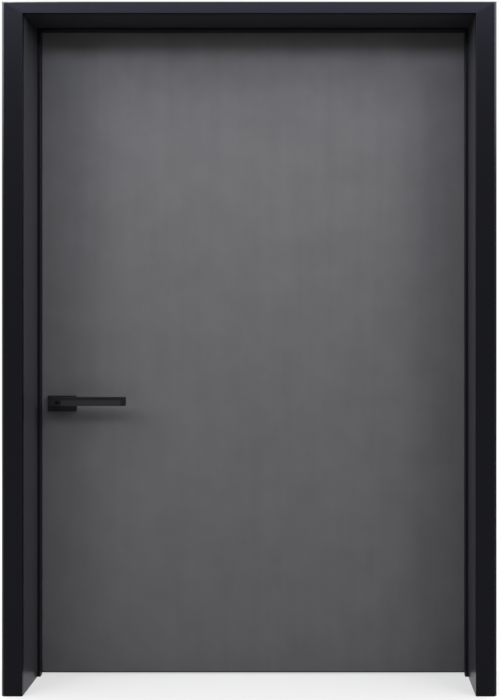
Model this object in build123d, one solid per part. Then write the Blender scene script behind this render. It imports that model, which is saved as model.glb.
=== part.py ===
from build123d import *
import os

# A flush single-leaf door in a deep lined frame, seen from the push side.
# +X runs towards the hinge side, +Y towards the pull side, +Z up.
# The origin is on the wall face of the hinge jamb, at the floor, half way through the wall.

# Driving dimensions in millimetres: the opening and the wall
opening_width = 1370.0
opening_height = 2063.0
wall_thickness = 184.0

# Frame boards
jamb_thickness = 25.0
head_housing = 8.0
side_casing_width = 63.0
head_casing_width = 37.0
casing_thickness = 12.0
casing_chamfer_width = 7.0
casing_chamfer_depth = 5.0
casing_inner_radius = 2.0
pull_side_margin = 12.0

# Stops and their seals
stop_projection = 10.0
stop_thickness = 14.0
stop_arris_radius = 1.5
stop_gap = 5.0
seal_stem_width = 2.2
seal_stem_depth = 4.0
seal_bulb_width = 4.0
seal_groove_clearance = 0.1
seal_leaf_clearance = 0.3

# Leaf
leaf_thickness = 40.0
edge_gap = 6.0
floor_gap = 6.0
edge_strip_thickness = 4.0
skin_thickness = 4.0
spindle_hole_radius = 9.0

# Butt hinges
hinge_end_margin = 225.0
hinge_height = 100.0
hinge_plate_width = 30.0
hinge_plate_thickness = 3.0
hinge_axis_offset = 8.0
knuckle_radius = 7.0
knuckle_count = 5
knuckle_gap = 0.4
hinge_pin_radius = 4.0
running_clearance = 0.05
pin_head_radius = 6.0
pin_head_height = 4.0
pin_head_chamfer = 1.5

# Lever set
spindle_height = 879.0
spindle_backset = 69.0
spindle_width = 8.0
spindle_clearance = 0.1
rose_width = 91.0
rose_height = 50.0
rose_drop = 12.0
rose_thickness = 9.0
rose_corner_radius = 3.0
rose_arris_chamfer = 1.0
lever_projection = 57.0
lever_heel = 30.0
lever_reach = 213.0
lever_height = 28.0
lever_thickness = 12.0
lever_corner_radius = 3.0
lever_arris_chamfer = 0.8
neck_radius = 9.0
neck_flare_radius = 12.0
neck_flare_length = 8.0
neck_end_gap = 0.5
socket_depth = 22.0
inlay_start = 11.0
inlay_tip_margin = 15.0
inlay_height = 18.0
inlay_thickness = 2.0
release_slot_length = 16.0
release_slot_width = 11.0
release_slot_depth = 9.0
release_slot_drop = 4.0

# Lock and strike
forend_height = 190.0
forend_width = 20.0
forend_thickness = 2.5
forend_drop = 20.0
forend_corner_radius = 4.0
lock_case_depth = 95.0
lock_case_height = 140.0
lock_case_thickness = 14.0
lock_case_clearance = 0.3
follower_clearance = 1.0
latch_width = 12.0
latch_height = 20.0
latch_length = 30.0
latch_bevel = 8.0
latch_clearance = 0.3
strike_width = 24.0
strike_thickness = 2.5
strike_hole_clearance = 2.0
strike_box_wall = 1.5
strike_box_depth = 14.0

# Faces that the pieces are placed from
hinge_face_x = -jamb_thickness
lock_face_x = hinge_face_x - opening_width
centre_x = (hinge_face_x + lock_face_x) / 2
wall_y = wall_thickness / 2
jamb_top_z = opening_height + jamb_thickness
leaf_x = (lock_face_x + edge_gap, hinge_face_x - edge_gap)
leaf_y = (wall_y - leaf_thickness, wall_y)
leaf_z = (floor_gap, opening_height - edge_gap)
leaf_middle_y = wall_y - leaf_thickness / 2
panel_x = (leaf_x[0] + edge_strip_thickness, leaf_x[1] - edge_strip_thickness)
panel_z = (leaf_z[0] + edge_strip_thickness, leaf_z[1] - edge_strip_thickness)
core_y = (leaf_y[0] + skin_thickness, leaf_y[1] - skin_thickness)
stop_back_y = leaf_y[0] - stop_gap
seal_offset = (edge_gap + stop_projection) / 2
hinge_axis_x = hinge_face_x - edge_gap / 2
hinge_axis_y = wall_y + hinge_axis_offset
hinge_heights = {
    "lower": leaf_z[0] + hinge_end_margin,
    "middle": (leaf_z[0] + leaf_z[1]) / 2,
    "upper": leaf_z[1] - hinge_end_margin,
}
spindle_x = leaf_x[0] + spindle_backset
lever_back_y = leaf_y[0] - lever_projection + lever_thickness
forend_z = spindle_height - forend_drop
mirror_sides = Plane.YZ.offset(centre_x)
mirror_leaf = Plane.XZ.offset(-leaf_middle_y)


def block(x, y, z):
    """Rectangular solid between a low and a high value on each axis."""
    size = Box(x[1] - x[0], y[1] - y[0], z[1] - z[0])
    return Pos((x[0] + x[1]) / 2, (y[0] + y[1]) / 2, (z[0] + z[1]) / 2) * size


def about(middle, width):
    """Low and high value of a width centred on a place."""
    return (middle - width / 2, middle + width / 2)


def tube_along_y(radius, y):
    """Round bar on the spindle's axis between two depths."""
    bar = Rot(X=90) * Cylinder(radius, y[1] - y[0])
    return Pos(spindle_x, (y[0] + y[1]) / 2, spindle_height) * bar


def casing_section(width, chamfer_width):
    """Flat casing with a chamfered outer arris and an eased inner one."""
    shoulder = casing_thickness - casing_chamfer_depth
    outline = Polyline(
        (0, 0),
        (width, 0),
        (width, shoulder),
        (width - chamfer_width, casing_thickness),
        (0, casing_thickness),
        close=True,
    )
    face = make_face(outline)
    inner_arris = face.vertices().sort_by_distance((0, casing_thickness, 0))[0]
    return fillet(inner_arris, casing_inner_radius)


def casing_set(margin):
    """Hinge-side, lock-side and head casing on the pull side, mitred at the corners."""
    side_width = side_casing_width - margin
    head_width = head_casing_width - margin
    inner = (hinge_face_x + margin, opening_height + margin)
    outer = (inner[0] + side_width, inner[1] + head_width)
    head_chamfer = casing_chamfer_width * head_width / side_width

    side_plane = Plane((inner[0], wall_y, 0), x_dir=(1, 0, 0), z_dir=(0, 0, 1))
    head_plane = Plane((outer[0], wall_y, inner[1]), x_dir=(0, 0, 1), z_dir=(-1, 0, 0))
    side = extrude(side_plane * casing_section(side_width, casing_chamfer_width), outer[1])
    head_length = 2 * (outer[0] - centre_x)
    head = extrude(head_plane * casing_section(head_width, head_chamfer), head_length)

    mitre = Plane((inner[0], 0, inner[1]), z_dir=(head_width, 0, -side_width))
    side = split(side, bisect_by=mitre, keep=Keep.TOP)
    head = split(head, bisect_by=mitre, keep=Keep.BOTTOM)
    head = mirror(split(mirror(head, mirror_sides), bisect_by=mitre, keep=Keep.BOTTOM), mirror_sides)
    return {"hinge_side": side, "lock_side": mirror(side, mirror_sides), "head": head}


def stop_section():
    """Stop strip on its jamb face, with the groove for the seal's stem in its back."""
    strip = Pos(stop_projection / 2, stop_thickness / 2) * Rectangle(stop_projection, stop_thickness)
    arris = strip.vertices().sort_by_distance((stop_projection, 0, 0))[0]
    strip = fillet(arris, stop_arris_radius)
    groove_width = seal_stem_width + 2 * seal_groove_clearance
    groove_depth = seal_stem_depth + seal_groove_clearance
    groove_middle = stop_thickness - groove_depth / 2
    return strip - Pos(seal_offset, groove_middle) * Rectangle(groove_width, groove_depth)


def seal_section():
    """Stem in the stop's groove and a bulb that reaches to the leaf."""
    bulb_height = stop_gap - seal_leaf_clearance
    radius = seal_bulb_width / 2
    stem = Pos(seal_offset, stop_thickness - seal_stem_depth / 2) * Rectangle(seal_stem_width, seal_stem_depth)
    root_height = bulb_height - radius
    root = Pos(seal_offset, stop_thickness + root_height / 2) * Rectangle(seal_bulb_width, root_height)
    crown = Pos(seal_offset, stop_thickness + root_height) * Circle(radius)
    hidden = Pos(seal_offset, stop_thickness - seal_bulb_width / 2) * Rectangle(seal_bulb_width, seal_bulb_width)
    return stem + root + (crown - hidden)


def along_opening(section, head_inset):
    """Runs a section up both jambs and across the head, seen from the jamb face inwards."""
    front_y = stop_back_y - stop_thickness
    side_plane = Plane((hinge_face_x, front_y, 0), x_dir=(-1, 0, 0), z_dir=(0, 0, -1))
    side = extrude(side_plane * section, -opening_height)
    head_start = (hinge_face_x - head_inset, front_y, opening_height)
    head_plane = Plane(head_start, x_dir=(0, 0, -1), z_dir=(1, 0, 0))
    head = extrude(head_plane * section, -(opening_width - 2 * head_inset))
    return {"hinge_side": side, "lock_side": mirror(side, mirror_sides), "head": head}


def latch_block(clearance, x):
    """Straight block on the latch's line, with a clearance all round."""
    y = about(leaf_middle_y, latch_width + 2 * clearance)
    z = about(spindle_height, latch_height + 2 * clearance)
    return block(x, y, z)


def edge_plate(face_x, thickness, width, direction):
    """Upright plate with rounded corners, let into a face and running away from it."""
    plane = Plane((face_x, leaf_middle_y, forend_z), x_dir=(0, 1, 0), z_dir=(1, 0, 0))
    return extrude(plane * RectangleRounded(width, forend_height, forend_corner_radius), direction * thickness)


def hinge_mortise(face_x, side, middle_z):
    """Recess that lets a hinge plate lie flush with a jamb face or a leaf edge."""
    x = sorted((face_x, face_x + side * hinge_plate_thickness))
    return block(x, (wall_y - hinge_plate_width, wall_y), about(middle_z, hinge_height))


def hinge_half(side, first_knuckle):
    """One plate of a butt hinge about its own axis, with every other knuckle and notches between them."""
    length = hinge_height / knuckle_count
    near = side * edge_gap / 2
    far = near + side * hinge_plate_thickness
    plate_end = -hinge_axis_offset - hinge_plate_width
    plate_x = sorted((near, far))
    half = block(plate_x, (plate_end, 0), about(0, hinge_height))
    for index in range(knuckle_count):
        middle = (index + 0.5) * length - hinge_height / 2
        if index % 2 == first_knuckle:
            half += Pos(0, 0, middle) * Cylinder(knuckle_radius, length - knuckle_gap)
        else:
            notch_y = (-knuckle_radius - knuckle_gap, 0)
            half -= block(plate_x, notch_y, about(middle, length + knuckle_gap))
    return half - Cylinder(hinge_pin_radius + running_clearance, 2 * hinge_height)


def hinge_pin():
    """Loose pin with a chamfered head at each end."""
    head = Cylinder(pin_head_radius, pin_head_height)
    rim = head.edges().filter_by(GeomType.CIRCLE).sort_by(Axis.Z)[-1]
    head = chamfer(rim, pin_head_chamfer)
    upper = Pos(0, 0, (hinge_height + pin_head_height) / 2) * head
    return Cylinder(hinge_pin_radius, hinge_height) + upper + mirror(upper, Plane.XY)


def rose():
    """Rectangular rose on the push side, bored for the lever's neck."""
    plane = Plane((spindle_x, leaf_y[0], spindle_height - rose_drop), x_dir=(1, 0, 0), z_dir=(0, -1, 0))
    plate = extrude(plane * RectangleRounded(rose_width, rose_height, rose_corner_radius), rose_thickness)
    front = plate.faces().sort_by(Axis.Y)[0]
    plate = chamfer(front.edges(), rose_arris_chamfer)
    return plate - tube_along_y(neck_radius + running_clearance, (leaf_y[0] - 2 * rose_thickness, leaf_y[1]))


def lever_neck():
    """Round neck from the leaf out to the bar, flared where it meets the bar."""
    inner_end = leaf_y[0] - neck_end_gap
    outline = Polyline(
        (0, lever_back_y),
        (neck_flare_radius, lever_back_y),
        (neck_radius, lever_back_y + neck_flare_length),
        (neck_radius, inner_end),
        (0, inner_end),
        close=True,
    )
    neck = revolve(make_face(outline), Axis.Y)
    return Pos(spindle_x, 0, spindle_height) * neck


def lever_bar():
    """Flat bar of the lever with eased front edges."""
    middle_x = spindle_x + (lever_reach - lever_heel) / 2
    plane = Plane((middle_x, lever_back_y, spindle_height), x_dir=(1, 0, 0), z_dir=(0, -1, 0))
    outline = RectangleRounded(lever_heel + lever_reach, lever_height, lever_corner_radius)
    bar = extrude(plane * outline, lever_thickness)
    front = bar.faces().sort_by(Axis.Y)[0]
    return chamfer(front.edges(), lever_arris_chamfer)


def lever_inlay():
    """Strip let into the lower front of the bar, short of its heel and its tip."""
    x = (spindle_x + inlay_start, spindle_x + lever_reach - inlay_tip_margin)
    front_y = lever_back_y - lever_thickness
    bottom_z = spindle_height - lever_height / 2
    return block(x, (front_y, front_y + inlay_thickness), (bottom_z, bottom_z + inlay_height))


def spindle_bar(width, y):
    """Square bar on the spindle's axis."""
    return block(about(spindle_x, width), y, about(spindle_height, width))


def lever():
    """Push-side lever: bar, neck, rebate for the inlay and socket for the spindle."""
    inner_end = leaf_y[0] - neck_end_gap
    socket = spindle_bar(spindle_width + 2 * spindle_clearance, (inner_end - socket_depth, inner_end))
    return lever_bar() + lever_neck() - lever_inlay() - socket


def release_slot():
    """Short round-ended slot in the push-side bar, in front of the spindle."""
    front_y = lever_back_y - lever_thickness
    slot_z = spindle_height - release_slot_drop
    plane = Plane((spindle_x, front_y, slot_z), x_dir=(1, 0, 0), z_dir=(0, 1, 0))
    return extrude(plane * SlotOverall(release_slot_length, release_slot_width), release_slot_depth)


def frame_nodes():
    """Jambs, casings, stops, seals and the strike."""
    jamb_y = (-wall_y, wall_y)
    housed_x = (lock_face_x - head_housing, hinge_face_x + head_housing)
    head_jamb = block(housed_x, jamb_y, (opening_height, jamb_top_z))
    hinge_jamb = block((hinge_face_x, 0), jamb_y, (0, jamb_top_z)) - head_jamb
    for middle_z in hinge_heights.values():
        hinge_jamb -= hinge_mortise(hinge_face_x, 1, middle_z)

    box_inner = strike_hole_clearance
    box_outer = strike_hole_clearance + strike_box_wall
    plate_back_x = lock_face_x - strike_thickness
    box_back_x = plate_back_x - strike_box_depth
    strike_plate = edge_plate(lock_face_x, strike_thickness, strike_width, -1)
    box_solid = latch_block(box_outer, (box_back_x, plate_back_x))
    lock_jamb = block((lock_face_x - jamb_thickness, lock_face_x), jamb_y, (0, jamb_top_z))
    lock_jamb = lock_jamb - head_jamb - strike_plate - box_solid
    strike_plate -= latch_block(box_inner, (plate_back_x, lock_face_x))
    strike_box = box_solid - latch_block(box_inner, (box_back_x + strike_box_wall, plate_back_x))

    nodes = {
        "hinge_jamb": hinge_jamb,
        "lock_jamb": lock_jamb,
        "head_jamb": head_jamb,
        "strike_plate": strike_plate,
        "strike_box": strike_box,
    }
    for place, casing in casing_set(0).items():
        nodes[f"front_casing_{place}"] = mirror(casing, Plane.XZ)
    for place, casing in casing_set(pull_side_margin).items():
        nodes[f"back_casing_{place}"] = casing
    for place, stop in along_opening(stop_section(), stop_projection).items():
        nodes[f"stop_{place}"] = stop
    seal_inset = max(stop_projection, seal_offset + seal_bulb_width / 2)
    for place, seal in along_opening(seal_section(), seal_inset).items():
        nodes[f"seal_{place}"] = seal
    return nodes


def leaf_nodes():
    """Core, skins, edge strips, lock and roses."""
    spindle_hole = tube_along_y(spindle_hole_radius, leaf_y)
    forend_back_x = leaf_x[0] + forend_thickness
    case_x = (forend_back_x, forend_back_x + lock_case_depth)
    case_y = about(leaf_middle_y, lock_case_thickness)
    case_z = about(forend_z, lock_case_height)
    mortise = block(
        (forend_back_x, case_x[1] + lock_case_clearance),
        about(leaf_middle_y, lock_case_thickness + 2 * lock_case_clearance),
        about(forend_z, lock_case_height + 2 * lock_case_clearance),
    )
    forend = edge_plate(leaf_x[0], forend_thickness, forend_width, 1)
    latch_x = (leaf_x[0], leaf_x[0] + latch_length)
    latch_pocket = latch_block(latch_clearance, (latch_x[0], latch_x[1] + latch_clearance))
    follower_radius = spindle_width / 2 ** 0.5 + follower_clearance

    edge_lock = block((leaf_x[0], panel_x[0]), leaf_y, leaf_z) - forend - mortise
    edge_hinge = block((panel_x[1], leaf_x[1]), leaf_y, leaf_z)
    for middle_z in hinge_heights.values():
        edge_hinge -= hinge_mortise(leaf_x[1], -1, middle_z)
    lock_case = block(case_x, case_y, case_z) - tube_along_y(follower_radius, leaf_y) - latch_pocket
    nose = Plane.XY.offset(spindle_height) * Polyline(
        (leaf_x[0], leaf_middle_y - latch_width / 2),
        (leaf_x[0] + latch_bevel, leaf_middle_y - latch_width / 2),
        (leaf_x[0], leaf_middle_y + latch_width / 2),
        close=True,
    )
    bevel = extrude(make_face(nose), latch_height, both=True)
    front_rose = rose()
    return {
        "leaf_core": block(panel_x, core_y, panel_z) - spindle_hole - mortise,
        "front_skin": block(panel_x, (leaf_y[0], core_y[0]), panel_z) - spindle_hole,
        "back_skin": block(panel_x, (core_y[1], leaf_y[1]), panel_z) - spindle_hole,
        "edge_lock": edge_lock,
        "edge_hinge": edge_hinge,
        "edge_top": block(panel_x, leaf_y, (panel_z[1], leaf_z[1])),
        "edge_bottom": block(panel_x, leaf_y, (leaf_z[0], panel_z[0])),
        "lock_forend": forend - latch_pocket,
        "lock_case": lock_case,
        "latch_bolt": latch_block(0, latch_x) - bevel,
        "front_rose": front_rose,
        "back_rose": mirror(front_rose, mirror_leaf),
    }


def hinge_nodes():
    """Both plates and the pin of each hinge."""
    frame_half = hinge_half(1, 0)
    leaf_half = hinge_half(-1, 1)
    pin = hinge_pin()
    nodes = {}
    for place, middle_z in hinge_heights.items():
        spot = Pos(hinge_axis_x, hinge_axis_y, middle_z)
        nodes[f"{place}_hinge_frame_plate"] = spot * frame_half
        nodes[f"{place}_hinge_leaf_plate"] = spot * leaf_half
        nodes[f"{place}_hinge_pin"] = spot * pin
    return nodes


def lever_nodes():
    """Both levers, their inlays and the spindle that joins them."""
    front_lever = lever()
    front_inlay = lever_inlay()
    spindle_reach = socket_depth + neck_end_gap
    spindle_y = (leaf_y[0] - spindle_reach, leaf_y[1] + spindle_reach)
    return {
        "front_lever": front_lever - release_slot(),
        "back_lever": mirror(front_lever, mirror_leaf),
        "front_lever_inlay": front_inlay,
        "back_lever_inlay": mirror(front_inlay, mirror_leaf),
        "lever_spindle": spindle_bar(spindle_width, spindle_y),
    }


os.makedirs("parts", exist_ok=True)
for make_nodes in (frame_nodes, leaf_nodes, hinge_nodes, lever_nodes):
    for name, solid in make_nodes().items():
        export_step(solid, f"parts/{name}.step")
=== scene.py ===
"""Looks of a flush grey door leaf in a deep satin black frame, with its lever set, hinges and lock."""
import math

import bpy
from mathutils import Matrix, Vector


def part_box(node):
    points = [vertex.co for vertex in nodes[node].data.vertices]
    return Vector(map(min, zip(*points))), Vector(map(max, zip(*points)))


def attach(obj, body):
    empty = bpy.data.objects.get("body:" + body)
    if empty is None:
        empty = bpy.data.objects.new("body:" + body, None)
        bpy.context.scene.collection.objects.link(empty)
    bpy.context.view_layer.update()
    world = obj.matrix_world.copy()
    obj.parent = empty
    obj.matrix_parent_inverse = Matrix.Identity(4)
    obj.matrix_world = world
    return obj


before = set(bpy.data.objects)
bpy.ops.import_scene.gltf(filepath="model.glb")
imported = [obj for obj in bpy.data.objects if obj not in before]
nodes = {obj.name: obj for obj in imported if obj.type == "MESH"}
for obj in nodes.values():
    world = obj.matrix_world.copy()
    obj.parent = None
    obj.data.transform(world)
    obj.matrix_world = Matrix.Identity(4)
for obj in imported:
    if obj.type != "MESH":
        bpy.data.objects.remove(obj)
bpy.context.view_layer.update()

# Camera, in metres and in pixels of the 500 by 700 photograph
PHOTO_WIDTH = 500
PHOTO_HEIGHT = 700
EYE_RIGHT_OF_MIDDLE = 0.22
EYE_HEIGHT = 1.19
EYE_DISTANCE = 2.6
FOCAL_PIXELS = 861.1
AIM_PIXEL_X = 322.0
AIM_PIXEL_Y = 302.4
SENSOR_WIDTH = 36.0

# Studio, the same in front and behind: a long strip over the door and a soft box at each side
STRIP_DISTANCE = 2.15
STRIP_HEIGHT = 3.08
STRIP_SIZE = (4.4, 0.6)
STRIP_POWER = 41
STRIP_COLOUR = (0.84, 0.87, 1.0)
BOX_REACH = 2.25
BOX_DISTANCE = 0.85
BOX_HEIGHT = 3.05
BOX_SIZE = (1.8, 2.3)
BOX_POWER = 109
BOX_COLOUR = (0.98, 0.98, 1.0)
LIGHT_AIM_HEIGHT = 1.25
FILL_STRENGTH = 0.01
FLOOR_SIZE = 60
FLOOR_ROUGHNESS = 0.9
FLOOR_TONE = (0.25, 0.247, 0.244, 1)
FLOOR_GLOW_NEAR = 0.58
FLOOR_GLOW_FAR = 1.0
FLOOR_FADE_START = 1.2
FLOOR_FADE_END = 4.0

# Screw heads and set screws, in metres and degrees
SCREW_RADIUS = 0.0038
SCREW_RISE = 0.0007
SCREW_RIM = 0.0003
CROSS_LENGTH = 0.0046
CROSS_WIDTH = 0.0009
RECESS_DEPTH = 0.0005
GRUB_RADIUS = 0.0025
GRUB_RISE = 0.0006
GRUB_KEY_RADIUS = 0.0014
GRUB_SUNK = 0.0005
GRUB_OFF_ROSE = 0.018
NECK_RADIUS = 0.009
HINGE_SCREWS = ((0.038, 0.010), (0.013, 0.022), (-0.013, 0.010), (-0.038, 0.022))
PLATE_SCREW_MARGIN = 0.012
SCREW_SIDES = 24
GRUB_SIDES = 20
GRUB_KEY_SIDES = 6
RIM_STEPS = 2
FIRST_TURN = 17
NEXT_TURN = 31
SMOOTH_ANGLE = 30

# Places read from the solids
casing_low, casing_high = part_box("front_casing_head")
jamb_low, jamb_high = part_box("hinge_jamb")
middle_x = (casing_low.x + casing_high.x) / 2
front_y = casing_low.y
wall_back_y = jamb_high.y
hinge_wall_x = jamb_high.x
jamb_top_z = jamb_high.z


def place_camera():
    """Level camera with the shift that keeps the uprights upright."""
    bpy.ops.object.camera_add(
        location=(middle_x + EYE_RIGHT_OF_MIDDLE, front_y - EYE_DISTANCE, EYE_HEIGHT),
        rotation=(math.radians(90), 0, 0),
    )
    camera = bpy.context.object
    camera.data.sensor_width = SENSOR_WIDTH
    camera.data.lens = FOCAL_PIXELS * SENSOR_WIDTH / PHOTO_HEIGHT
    camera.data.shift_x = (PHOTO_WIDTH / 2 - AIM_PIXEL_X) / PHOTO_HEIGHT
    camera.data.shift_y = (AIM_PIXEL_Y - PHOTO_HEIGHT / 2) / PHOTO_HEIGHT
    bpy.context.scene.camera = camera


def set_sockets(tree, made, sockets):
    """Sets each socket to a value, or joins it to another node's output."""
    for key, value in sockets.items():
        if isinstance(value, bpy.types.NodeSocket):
            tree.links.new(value, made.inputs[key])
        else:
            made.inputs[key].default_value = value


def add(tree, kind, sockets=None, **settings):
    """One shader node with its settings and sockets."""
    made = tree.nodes.new(kind)
    for name, value in settings.items():
        setattr(made, name, value)
    set_sockets(tree, made, sockets or {})
    return made


def reckon(tree, operation, first, second=0.0):
    """A math node on one or two values."""
    return add(tree, "ShaderNodeMath", {0: first, 1: second}, operation=operation).outputs[0]


def spread(tree, value, low, high, start=0.0, end=1.0):
    """Takes a value from one range to another and keeps it inside."""
    sockets = {"Value": value, "From Min": start, "From Max": end, "To Min": low, "To Max": high}
    return add(tree, "ShaderNodeMapRange", sockets).outputs["Result"]


def noise(tree, vector, scale, detail, roughness):
    """Noise value on a vector."""
    sockets = {"Vector": vector, "Scale": scale, "Detail": detail, "Roughness": roughness}
    return add(tree, "ShaderNodeTexNoise", sockets).outputs["Fac"]


def blend(tree, factor, first, second):
    """Colour between two colours."""
    made = add(tree, "ShaderNodeMix", data_type="RGBA")
    set_sockets(tree, made, {0: factor, 6: first, 7: second})
    return made.outputs[2]


def start_group(name, inputs, outputs):
    """Empty shader group with named sockets: the group, what it is given and what it puts out."""
    group = bpy.data.node_groups.new(name, "ShaderNodeTree")
    for socket, kind in inputs.items():
        group.interface.new_socket(socket, in_out="INPUT", socket_type=f"NodeSocket{kind}")
    for socket, kind in outputs.items():
        group.interface.new_socket(socket, in_out="OUTPUT", socket_type=f"NodeSocket{kind}")
    return group, group.nodes.new("NodeGroupInput").outputs, group.nodes.new("NodeGroupOutput").inputs


def make_straight_grain():
    """Long streaks along Z, with fine pores between them."""
    group, given, result = start_group(
        "straight_grain",
        {"Vector": "Vector", "Width": "Float", "Length": "Float"},
        {"Streaks": "Float", "Pores": "Float"},
    )
    pitch = add(group, "ShaderNodeCombineXYZ", {0: given["Width"], 1: given["Width"], 2: given["Length"]})
    along = add(group, "ShaderNodeVectorMath", operation="DIVIDE")
    set_sockets(group, along, {0: given["Vector"], 1: pitch.outputs[0]})
    streaks = noise(group, along.outputs[0], scale=1.0, detail=5.0, roughness=0.62)
    pores = noise(group, along.outputs[0], scale=7.0, detail=2.0, roughness=0.5)
    group.links.new(streaks, result["Streaks"])
    group.links.new(pores, result["Pores"])
    return group


def make_cloudy_tone():
    """Soft patches of tone, and a fine speck."""
    group, given, result = start_group(
        "cloudy_tone",
        {"Vector": "Vector", "Patch": "Float", "Speck": "Float"},
        {"Cloud": "Float", "Specks": "Float"},
    )
    patch_scale = reckon(group, "DIVIDE", 1.0, given["Patch"])
    speck_scale = reckon(group, "DIVIDE", 1.0, given["Speck"])
    cloud = noise(group, given["Vector"], patch_scale, detail=4.0, roughness=0.55)
    specks = noise(group, given["Vector"], speck_scale, detail=2.0, roughness=0.6)
    group.links.new(cloud, result["Cloud"])
    group.links.new(specks, result["Specks"])
    return group


def make_raw_board():
    """Sawn board with flecks of fibre."""
    group, given, result = start_group(
        "raw_board",
        {"Vector": "Vector"},
        {"Color": "Color", "Flecks": "Float"},
    )
    flecks = noise(group, given["Vector"], scale=420.0, detail=4.0, roughness=0.7)
    tone = noise(group, given["Vector"], scale=9.0, detail=3.0, roughness=0.5)
    colour = blend(group, flecks, BOARD_DARK, BOARD_PALE)
    colour = blend(group, spread(group, tone, low=0.0, high=0.5), colour, BOARD_MIDDLE)
    group.links.new(colour, result["Color"])
    group.links.new(flecks, result["Flecks"])
    return group


def make_wall_side():
    """Masks of the faces that lie against the wall, one for the jambs and one for the casings."""
    group, given, result = start_group(
        "wall_side",
        {"Vector": "Vector", "Skin": "Float"},
        {"Jamb": "Float", "Casing": "Float"},
    )
    place = add(group, "ShaderNodeSeparateXYZ", {0: given["Vector"]}).outputs
    reach = reckon(group, "ABSOLUTE", reckon(group, "SUBTRACT", place[0], middle_x))
    side_limit = reckon(group, "SUBTRACT", hinge_wall_x - middle_x, given["Skin"])
    top_limit = reckon(group, "SUBTRACT", jamb_top_z, given["Skin"])
    side = reckon(group, "GREATER_THAN", reach, side_limit)
    top = reckon(group, "GREATER_THAN", place[2], top_limit)
    group.links.new(reckon(group, "MAXIMUM", side, top), result["Jamb"])
    back_limit = reckon(group, "ADD", wall_back_y, given["Skin"])
    depth = reckon(group, "ABSOLUTE", place[1])
    group.links.new(reckon(group, "LESS_THAN", depth, back_limit), result["Casing"])
    return group


def make_mitre_line():
    """Hairline where a side casing meets the head casing."""
    group, given, result = start_group(
        "mitre_line",
        {
            "Vector": "Vector",
            "Inner Reach": "Float",
            "Inner Height": "Float",
            "Side Width": "Float",
            "Head Width": "Float",
            "Hairline": "Float",
        },
        {"Line": "Float"},
    )
    place = add(group, "ShaderNodeSeparateXYZ", {0: given["Vector"]}).outputs
    reach = reckon(group, "ABSOLUTE", reckon(group, "SUBTRACT", place[0], middle_x))
    past_inner = reckon(group, "SUBTRACT", reach, given["Inner Reach"])
    over_inner = reckon(group, "SUBTRACT", place[2], given["Inner Height"])
    outward = reckon(group, "DIVIDE", past_inner, given["Side Width"])
    upward = reckon(group, "DIVIDE", over_inner, given["Head Width"])
    apart = reckon(group, "ABSOLUTE", reckon(group, "SUBTRACT", outward, upward))
    distance = reckon(group, "MULTIPLY", apart, given["Head Width"])
    group.links.new(reckon(group, "LESS_THAN", distance, given["Hairline"]), result["Line"])
    return group


def make_settled_dust():
    """Thin patchy dust on faces that look up."""
    group, given, result = start_group(
        "settled_dust",
        {"Vector": "Vector", "Amount": "Float"},
        {"Dust": "Float"},
    )
    facing = add(group, "ShaderNodeNewGeometry").outputs["Normal"]
    up = add(group, "ShaderNodeSeparateXYZ", {0: facing}).outputs[2]
    level = spread(group, up, low=0.0, high=1.0, start=0.6, end=0.95)
    patches = noise(group, given["Vector"], scale=60.0, detail=4.0, roughness=0.65)
    patchy = spread(group, patches, low=0.2, high=1.0)
    amount = reckon(group, "MULTIPLY", reckon(group, "MULTIPLY", level, patchy), given["Amount"])
    group.links.new(amount, result["Dust"])
    return group


BOARD_DARK = (0.2, 0.13, 0.075, 1)
BOARD_MIDDLE = (0.3, 0.21, 0.13, 1)
BOARD_PALE = (0.42, 0.3, 0.19, 1)
groups = {
    "grain": make_straight_grain(),
    "cloud": make_cloudy_tone(),
    "board": make_raw_board(),
    "wall_side": make_wall_side(),
    "mitre": make_mitre_line(),
    "dust": make_settled_dust(),
}


def use_group(tree, name, **sockets):
    """One of the shared effects, placed in a material with its own values."""
    placed = tree.nodes.new("ShaderNodeGroup")
    placed.node_tree = groups[name]
    set_sockets(tree, placed, sockets)
    return placed.outputs


def start_material(name, specular):
    """New material: its tree, its shader and the piece's own coordinates."""
    material = bpy.data.materials.new(name)
    material.use_nodes = True
    tree = material.node_tree
    shader = tree.nodes["Principled BSDF"]
    shader.inputs["Specular IOR Level"].default_value = specular
    place = tree.nodes.new("ShaderNodeTexCoord").outputs["Object"]
    return material, tree, shader, place


def finish_surface(tree, shader, colour, roughness, height, strength, distance):
    """Joins a colour, a roughness and a fine relief to the shader."""
    tree.links.new(colour, shader.inputs["Base Color"])
    tree.links.new(roughness, shader.inputs["Roughness"])
    bump = add(tree, "ShaderNodeBump", {"Height": height, "Strength": strength, "Distance": distance})
    tree.links.new(bump.outputs["Normal"], shader.inputs["Normal"])


# Finishes: dark and pale tone of each, and how strongly it reflects
DUST_COLOUR = (0.3, 0.29, 0.27, 1)
# The one black film is given three tones. The casings' tone is darkened as painted shade that keeps their
# lower parts dark.
CASING_FILM_PAINTED_SHADE = ((0.0011, 0.0011, 0.0013, 1), (0.0024, 0.0024, 0.0028, 1))
# The jambs' tone is the same film lightened as painted reflection of the grey leaf in the reveals; the
# stops' tone lies between the two.
JAMB_FILM_PAINTED_REFLECTION = ((0.029, 0.029, 0.0325, 1), (0.05, 0.05, 0.056, 1))
STOP_FILM = ((0.006, 0.006, 0.0072, 1), (0.01, 0.01, 0.012, 1))
FILM_SHINE = (0.75, 0.77, 1.0, 1)
FILM_ROUGHNESS = (0.34, 0.24)
SIDE_CASING_SHINE = 0.13
HEAD_CASING_SHINE = 0.19
JAMB_SHINE = 0.15
STOP_SHINE = 0.14
LEAF_FILM = ((0.14, 0.138, 0.138, 1), (0.159, 0.157, 0.157, 1))
LEAF_SPECK = (0.09, 0.09, 0.096, 1)
LEAF_SHINE = 0.09
LEAF_CLOUD_SHARE = 0.65
LEAF_STREAK_SHARE = 0.35
POWDER_COAT = ((0.006, 0.006, 0.0068, 1), (0.0104, 0.0104, 0.0116, 1))
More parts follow.
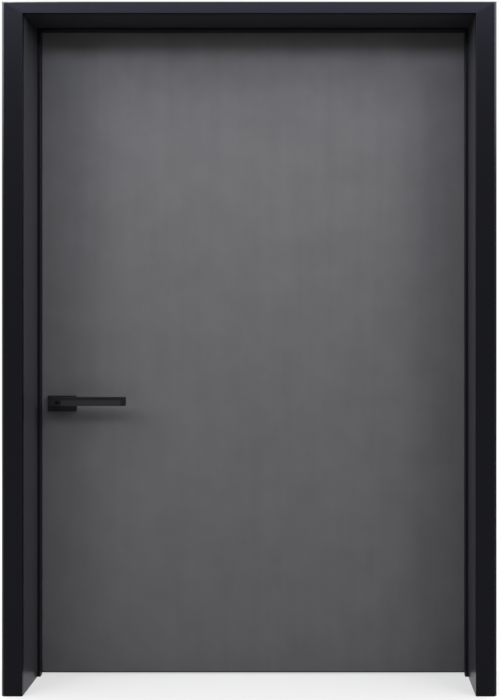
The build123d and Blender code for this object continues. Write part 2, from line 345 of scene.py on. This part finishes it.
ANODISED = ((0.005, 0.005, 0.006, 1), (0.011, 0.011, 0.012, 1))
INLAY = ((0.015, 0.015, 0.0162, 1), (0.025, 0.025, 0.027, 1))
STEEL = ((0.36, 0.36, 0.37, 1), (0.58, 0.58, 0.58, 1))
PLASTIC = ((0.008, 0.008, 0.008, 1), (0.014, 0.014, 0.014, 1))
RUBBER = ((0.006, 0.006, 0.006, 1), (0.011, 0.011, 0.011, 1))
BARE_ROUGHNESS = 0.85
PORE_RELIEF = 0.4
JOINT_DARK = (0.001, 0.001, 0.001, 1)
LEVEL_TURN = (0, math.radians(90), 0)


def black_film(name, tones, specular, level, back=None, mitre=None):
    """Satin black film with a faint straight grain, over board that is left bare at the wall."""
    material, tree, shader, place = start_material(name, specular)
    shader.inputs["Specular Tint"].default_value = FILM_SHINE
    along = add(tree, "ShaderNodeMapping", {"Vector": place}).outputs[0]
    if level:
        along.node.inputs["Rotation"].default_value = LEVEL_TURN
    grain = use_group(tree, "grain", Vector=along, Width=0.009, Length=0.8)
    colour = blend(tree, grain["Streaks"], *tones)
    if mitre:
        line = use_group(tree, "mitre", Vector=place, Hairline=0.00035, **mitre)["Line"]
        colour = blend(tree, line, colour, JOINT_DARK)
    dust = use_group(tree, "dust", Vector=place, Amount=0.1)["Dust"]
    colour = blend(tree, dust, colour, DUST_COLOUR)
    sheen = spread(tree, grain["Streaks"], *FILM_ROUGHNESS)
    if back:
        board = use_group(tree, "board", Vector=place)
        bare = use_group(tree, "wall_side", Vector=place, Skin=0.00005)[back]
        colour = blend(tree, bare, colour, board["Color"])
        sheen = reckon(tree, "MAXIMUM", sheen, reckon(tree, "MULTIPLY", bare, BARE_ROUGHNESS))
    relief = reckon(tree, "ADD", grain["Streaks"], reckon(tree, "MULTIPLY", grain["Pores"], PORE_RELIEF))
    finish_surface(tree, shader, colour, sheen, relief, strength=0.25, distance=0.0002)
    return material


def casing_film(name, level, mitre):
    """Film of a casing, a little glossier on the head, where the grain lies level."""
    shine = HEAD_CASING_SHINE if level else SIDE_CASING_SHINE
    # casing tone: the black film darkened as painted shade
    return black_film(name, CASING_FILM_PAINTED_SHADE, shine, level, "Casing", mitre)


def grey_film():
    """Matte dark grey film of the leaf, with a faint cloudy tone and fainter upright streaks."""
    material, tree, shader, place = start_material("leaf_grey_film", LEAF_SHINE)
    tone = use_group(tree, "cloud", Vector=place, Patch=0.09, Speck=0.0022)
    streaks = use_group(tree, "grain", Vector=place, Width=0.03, Length=0.6)["Streaks"]
    clouded = reckon(tree, "MULTIPLY", tone["Cloud"], LEAF_CLOUD_SHARE)
    streaked = reckon(tree, "MULTIPLY", streaks, LEAF_STREAK_SHARE)
    mottle = reckon(tree, "ADD", clouded, streaked)
    cloud = spread(tree, mottle, low=0.0, high=1.0, start=0.32, end=0.62)
    colour = blend(tree, cloud, *LEAF_FILM)
    colour = blend(tree, spread(tree, tone["Specks"], low=0.0, high=0.12), colour, LEAF_SPECK)
    sheen = spread(tree, cloud, low=0.66, high=0.54)
    finish_surface(tree, shader, colour, sheen, tone["Specks"], strength=0.12, distance=0.0002)
    return material


def raw_core():
    """Board of the leaf's core."""
    material, tree, shader, place = start_material("core_raw_board", specular=0.3)
    board = use_group(tree, "board", Vector=place)
    rough = spread(tree, board["Flecks"], low=0.92, high=0.78)
    finish_surface(tree, shader, board["Color"], rough, board["Flecks"], strength=0.4, distance=0.0006)
    return material


def powder_coat():
    """Matte black powder coat of the levers, roses, hinges and plates."""
    material, tree, shader, place = start_material("hardware_powder_coat", specular=0.1)
    tone = use_group(tree, "cloud", Vector=place, Patch=0.03, Speck=0.0006)
    dust = use_group(tree, "dust", Vector=place, Amount=0.06)["Dust"]
    colour = blend(tree, tone["Cloud"], *POWDER_COAT)
    colour = blend(tree, dust, colour, DUST_COLOUR)
    sheen = spread(tree, tone["Specks"], low=0.42, high=0.56)
    finish_surface(tree, shader, colour, sheen, tone["Specks"], strength=0.3, distance=0.0001)
    return material


def brushed(name, tones, metallic, specular, rough):
    """Strip or steel with brush lines along X."""
    material, tree, shader, place = start_material(name, specular)
    along = add(tree, "ShaderNodeMapping", {"Vector": place, "Rotation": LEVEL_TURN}).outputs[0]
    lines = use_group(tree, "grain", Vector=along, Width=0.0007, Length=0.05)["Streaks"]
    shader.inputs["Metallic"].default_value = metallic
    sheen = spread(tree, lines, low=rough + 0.08, high=rough - 0.08)
    finish_surface(tree, shader, blend(tree, lines, *tones), sheen, lines, strength=0.2, distance=0.00005)
    return material


def anodised(name, level):
    """Black anodised aluminium of the leaf's edge strips, drawn along their length."""
    material, tree, shader, place = start_material(name, specular=0.4)
    along = add(tree, "ShaderNodeMapping", {"Vector": place}).outputs[0]
    if level:
        along.node.inputs["Rotation"].default_value = LEVEL_TURN
    lines = use_group(tree, "grain", Vector=along, Width=0.0008, Length=0.3)["Streaks"]
    colour = blend(tree, lines, *ANODISED)
    sheen = spread(tree, lines, low=0.44, high=0.3)
    finish_surface(tree, shader, colour, sheen, lines, strength=0.15, distance=0.00005)
    return material


def moulded(name, tones, rough, specular):
    """Moulded black plastic or rubber."""
    material, tree, shader, place = start_material(name, specular)
    tone = use_group(tree, "cloud", Vector=place, Patch=0.02, Speck=0.0009)
    colour = blend(tree, tone["Cloud"], *tones)
    sheen = spread(tree, tone["Specks"], low=rough - 0.07, high=rough + 0.07)
    finish_surface(tree, shader, colour, sheen, tone["Specks"], strength=0.2, distance=0.0001)
    return material


def mitre_of(side):
    """Where the mitres of the front or the back casings run."""
    head_low, head_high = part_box(f"{side}_casing_head")
    side_low, side_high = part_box(f"{side}_casing_hinge_side")
    return {
        "Inner Reach": side_low.x - middle_x,
        "Inner Height": head_low.z,
        "Side Width": side_high.x - side_low.x,
        "Head Width": head_high.z - head_low.z,
    }


def make_finishes():
    """Every finish of the door by the piece that has it."""
    front = mitre_of("front")
    back = mitre_of("back")
    return {
        "leaf": grey_film(),
        "core": raw_core(),
        # jamb tone: the black film lightened as painted reflection of the grey leaf
        "side_jamb": black_film("jamb_black_upright", JAMB_FILM_PAINTED_REFLECTION, JAMB_SHINE, False, "Jamb"),
        "head_jamb": black_film("jamb_black_head", JAMB_FILM_PAINTED_REFLECTION, JAMB_SHINE, True, "Jamb"),
        "front_side": casing_film("front_casing_black_upright", False, front),
        "front_head": casing_film("front_casing_black_head", True, front),
        "back_side": casing_film("back_casing_black_upright", False, back),
        "back_head": casing_film("back_casing_black_head", True, back),
        "stop_side": black_film("stop_black_upright", STOP_FILM, STOP_SHINE, False),
        "stop_head": black_film("stop_black_head", STOP_FILM, STOP_SHINE, True),
        "hardware": powder_coat(),
        "inlay": brushed("inlay_dark_grey", INLAY, metallic=0.0, specular=0.12, rough=0.5),
        "edge_side": anodised("edge_anodised_upright", False),
        "edge_level": anodised("edge_anodised_level", True),
        "steel": brushed("lock_satin_steel", STEEL, metallic=1.0, specular=0.5, rough=0.34),
        "plastic": moulded("box_black_plastic", PLASTIC, rough=0.55, specular=0.3),
        "rubber": moulded("seal_black_rubber", RUBBER, rough=0.75, specular=0.2),
    }


def finish_of(name):
    """Which finish a CAD node has, by its name."""
    fixed = {
        "leaf_core": "core",
        "head_jamb": "head_jamb",
        "hinge_jamb": "side_jamb",
        "lock_jamb": "side_jamb",
        "stop_head": "stop_head",
        "edge_lock": "edge_side",
        "edge_hinge": "edge_side",
        "edge_top": "edge_level",
        "edge_bottom": "edge_level",
        "lock_case": "steel",
        "latch_bolt": "steel",
        "lever_spindle": "steel",
        "strike_box": "plastic",
    }
    if name in fixed:
        return fixed[name]
    if name.endswith("_skin"):
        return "leaf"
    if name.endswith("_inlay"):
        return "inlay"
    if name.startswith("stop_"):
        return "stop_side"
    if name.startswith("seal_"):
        return "rubber"
    if "_casing_" in name:
        return name.split("_")[0] + ("_head" if name.endswith("head") else "_side")
    return "hardware"


def select_only(*pieces):
    """Selects these pieces and no others, the first one active."""
    bpy.ops.object.select_all(action="DESELECT")
    for piece in pieces:
        piece.select_set(True)
    bpy.context.view_layer.objects.active = pieces[0]


def turned_head(radius, rise, sides):
    """Low round head at the origin, looking up, with an eased rim."""
    bpy.ops.object.select_all(action="DESELECT")
    bpy.ops.mesh.primitive_cylinder_add(
        vertices=sides, radius=radius, depth=rise, location=(0, 0, rise / 2)
    )
    head = bpy.context.object
    bpy.ops.object.transform_apply(location=True)
    bpy.ops.object.mode_set(mode="EDIT")
    bpy.ops.mesh.select_mode(type="EDGE")
    bpy.ops.mesh.select_all(action="DESELECT")
    bpy.ops.object.mode_set(mode="OBJECT")
    points = head.data.vertices
    for edge in head.data.edges:
        edge.select = all(points[index].co.z > rise / 2 for index in edge.vertices)
    bpy.ops.object.mode_set(mode="EDIT")
    bpy.ops.mesh.bevel(offset=SCREW_RIM, segments=RIM_STEPS, affect="EDGES")
    bpy.ops.object.mode_set(mode="OBJECT")
    return head


def cut(piece, cutter):
    """Takes a cutter out of a piece and throws the cutter away."""
    select_only(piece)
    modifier = piece.modifiers.new("recess", "BOOLEAN")
    modifier.operation = "DIFFERENCE"
    modifier.object = cutter
    bpy.ops.object.modifier_apply(modifier=modifier.name)
    bpy.data.objects.remove(cutter)


def model_screw():
    """Screw head with a cross recess."""
    screw = turned_head(SCREW_RADIUS, SCREW_RISE, SCREW_SIDES)
    for width, length in ((CROSS_LENGTH, CROSS_WIDTH), (CROSS_WIDTH, CROSS_LENGTH)):
        bpy.ops.mesh.primitive_cube_add(size=1, location=(0, 0, SCREW_RISE))
        slot = bpy.context.object
        slot.scale = (width, length, 2 * RECESS_DEPTH)
        bpy.ops.object.transform_apply(location=True, scale=True)
        cut(screw, slot)
    return screw


def model_grub():
    """Set screw with a hexagon socket."""
    grub = turned_head(GRUB_RADIUS, GRUB_RISE, GRUB_SIDES)
    bpy.ops.mesh.primitive_cylinder_add(
        vertices=GRUB_KEY_SIDES, radius=GRUB_KEY_RADIUS, depth=2 * RECESS_DEPTH, location=(0, 0, GRUB_RISE)
    )
    cut(grub, bpy.context.object)
    return grub


def set_fasteners(pattern, name, facing, spots, body, finish):
    """Copies a fastener to its spots, facing one way, and joins the copies into one piece."""
    turn = facing.to_track_quat("Z", "Y").to_matrix().to_4x4()
    copies = []
    for index, spot in enumerate(spots):
        copy = pattern.copy()
        copy.data = pattern.data.copy()
        bpy.context.collection.objects.link(copy)
        twist = Matrix.Rotation(math.radians(FIRST_TURN + NEXT_TURN * index), 4, "Z")
        copy.data.transform(Matrix.Translation(spot) @ turn @ twist)
        copies.append(copy)
    select_only(*copies)
    if len(copies) > 1:
        bpy.ops.object.join()
    piece = bpy.context.object
    piece.name = name
    piece.data.materials.clear()
    piece.data.materials.append(finish)
    bpy.ops.object.shade_smooth_by_angle(angle=math.radians(SMOOTH_ANGLE))
    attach(piece, body)


def fit_fasteners(finish):
    """Screws of the hinges, the strike and the forend, and the set screws of the levers."""
    out_of_hinge_jamb = Vector((-1, 0, 0))
    out_of_lock_jamb = Vector((1, 0, 0))
    screw = model_screw()
    leaf_hinge_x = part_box("edge_hinge")[1].x
    for place in ("lower", "middle", "upper"):
        low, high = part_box(f"{place}_hinge_frame_plate")
        middle_z = (low.z + high.z) / 2
        for body, face_x, facing in (
            ("frame", jamb_low.x, out_of_hinge_jamb),
            ("leaf", leaf_hinge_x, out_of_lock_jamb),
        ):
            spots = [Vector((face_x, wall_back_y - inset, middle_z + rise)) for rise, inset in HINGE_SCREWS]
            set_fasteners(screw, f"{place}_hinge_{body}_screws", facing, spots, body, finish)
    for plate, body, facing in (
        ("strike_plate", "frame", out_of_lock_jamb),
        ("lock_forend", "leaf", out_of_hinge_jamb),
    ):
        low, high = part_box(plate)
        face_x = high.x if facing.x > 0 else low.x
        middle_y = (low.y + high.y) / 2
        ends = (low.z + PLATE_SCREW_MARGIN, high.z - PLATE_SCREW_MARGIN)
        spots = [Vector((face_x, middle_y, height)) for height in ends]
        set_fasteners(screw, f"{plate}_screws", facing, spots, body, finish)
    bpy.data.objects.remove(screw)
    grub = model_grub()
    spindle_low, spindle_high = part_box("lever_spindle")
    spindle = (spindle_low + spindle_high) / 2
    neck_z = spindle.z - NECK_RADIUS + GRUB_SUNK
    for side, neck_y in (
        ("front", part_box("front_rose")[0].y - GRUB_OFF_ROSE),
        ("back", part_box("back_rose")[1].y + GRUB_OFF_ROSE),
    ):
        spot = Vector((spindle.x, neck_y, neck_z))
        set_fasteners(grub, f"{side}_lever_set_screw", Vector((0, 0, -1)), [spot], "lever", finish)
    bpy.data.objects.remove(grub)


def seen_directly(tree):
    """1 for what the camera sees, also in a reflection or through glass, and 0 for light passed on."""
    path = tree.nodes.new("ShaderNodeLightPath").outputs
    mirrored = reckon(tree, "MAXIMUM", path["Is Glossy Ray"], path["Is Transmission Ray"])
    return reckon(tree, "MAXIMUM", path["Is Camera Ray"], mirrored)


def lay_floor():
    """Pale floor that looks white to the camera and keeps the door's shadow."""
    bpy.ops.object.select_all(action="DESELECT")
    bpy.ops.mesh.primitive_plane_add(size=FLOOR_SIZE, location=(middle_x, 0, 0))
    floor = bpy.context.object
    floor.name = "floor"
    material, tree, shader, place = start_material("pale_floor", specular=0.0)
    shader.inputs["Base Color"].default_value = FLOOR_TONE
    shader.inputs["Roughness"].default_value = FLOOR_ROUGHNESS
    shader.inputs["Emission Color"].default_value = (1, 1, 1, 1)
    distance = add(tree, "ShaderNodeVectorMath", {0: place}, operation="LENGTH").outputs["Value"]
    glow = spread(tree, distance, FLOOR_GLOW_NEAR, FLOOR_GLOW_FAR, FLOOR_FADE_START, FLOOR_FADE_END)
    tree.links.new(reckon(tree, "MULTIPLY", seen_directly(tree), glow), shader.inputs["Emission Strength"])
    floor.data.materials.append(material)


def hang_panel(name, place, size, power, colour):
    """Soft panel that looks at the middle of the door."""
    bpy.ops.object.light_add(type="AREA", location=place)
    panel = bpy.context.object
    panel.name = name
    panel.data.shape = "RECTANGLE"
    panel.data.size, panel.data.size_y = size
    panel.data.energy = power
    panel.data.color = colour
    panel.visible_camera = False
    aim = Vector((middle_x, 0, LIGHT_AIM_HEIGHT)) - panel.location
    panel.rotation_euler = aim.to_track_quat("-Z", "Y").to_euler()


def light_studio():
    """The panels in front of the door and behind it, and an even white surrounding."""
    for side, way in (("front", -1), ("back", 1)):
        strip_place = (middle_x, way * STRIP_DISTANCE, STRIP_HEIGHT)
        hang_panel(f"{side}_strip", strip_place, STRIP_SIZE, STRIP_POWER, STRIP_COLOUR)
        for hand, reach in (("left", -BOX_REACH), ("right", BOX_REACH)):
            box_place = (middle_x + reach, way * BOX_DISTANCE, BOX_HEIGHT)
            hang_panel(f"{side}_{hand}_box", box_place, BOX_SIZE, BOX_POWER, BOX_COLOUR)
    world = bpy.data.worlds.new("studio")
    bpy.context.scene.world = world
    world.use_nodes = True
    tree = world.node_tree
    background = tree.nodes["Background"]
    background.inputs["Color"].default_value = (1, 1, 1, 1)
    strength = spread(tree, seen_directly(tree), FILL_STRENGTH, 1.0)
    tree.links.new(strength, background.inputs["Strength"])


place_camera()
finishes = make_finishes()
for node_name, node in nodes.items():
    node.data.materials.clear()
    node.data.materials.append(finishes[finish_of(node_name)])
fit_fasteners(finishes["hardware"])
lay_floor()
light_studio()

bpy.context.scene.view_settings.view_transform = "Standard"
